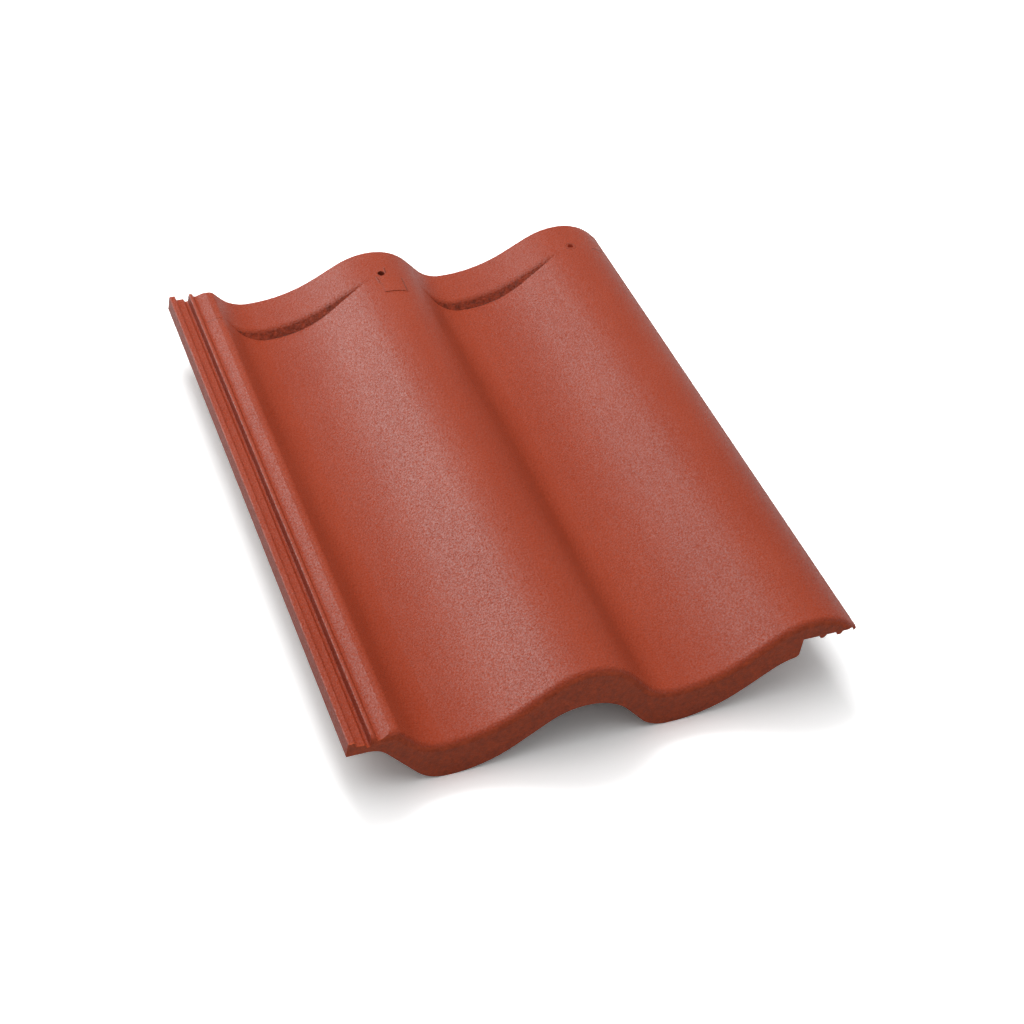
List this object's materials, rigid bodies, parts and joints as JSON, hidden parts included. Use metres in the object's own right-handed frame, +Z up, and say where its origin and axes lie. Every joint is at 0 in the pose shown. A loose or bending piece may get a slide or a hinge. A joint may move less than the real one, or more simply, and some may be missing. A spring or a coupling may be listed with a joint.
{
  "type": "roof tile",
  "caption": "Interlocking concrete roof tile with a double wave, a side lock, an overlap, feet and hanging nibs.",
  "frame": {"origin": "under the middle of the tile, on the level that its feet and nibs stand on", "axes": "+Y from the tail, the lower edge on a roof, to the head; +X from the side lock to the overlap; +Z up, out of the weathered face"},
  "size_m": [0.3282, 0.42, 0.0649],
  "materials": {
    "coated_concrete": "satin red coat with a fine grain"
  },
  "bodies": {
    "root": {"roof_tile": "coated_concrete"}
  },
  "joints": []
}
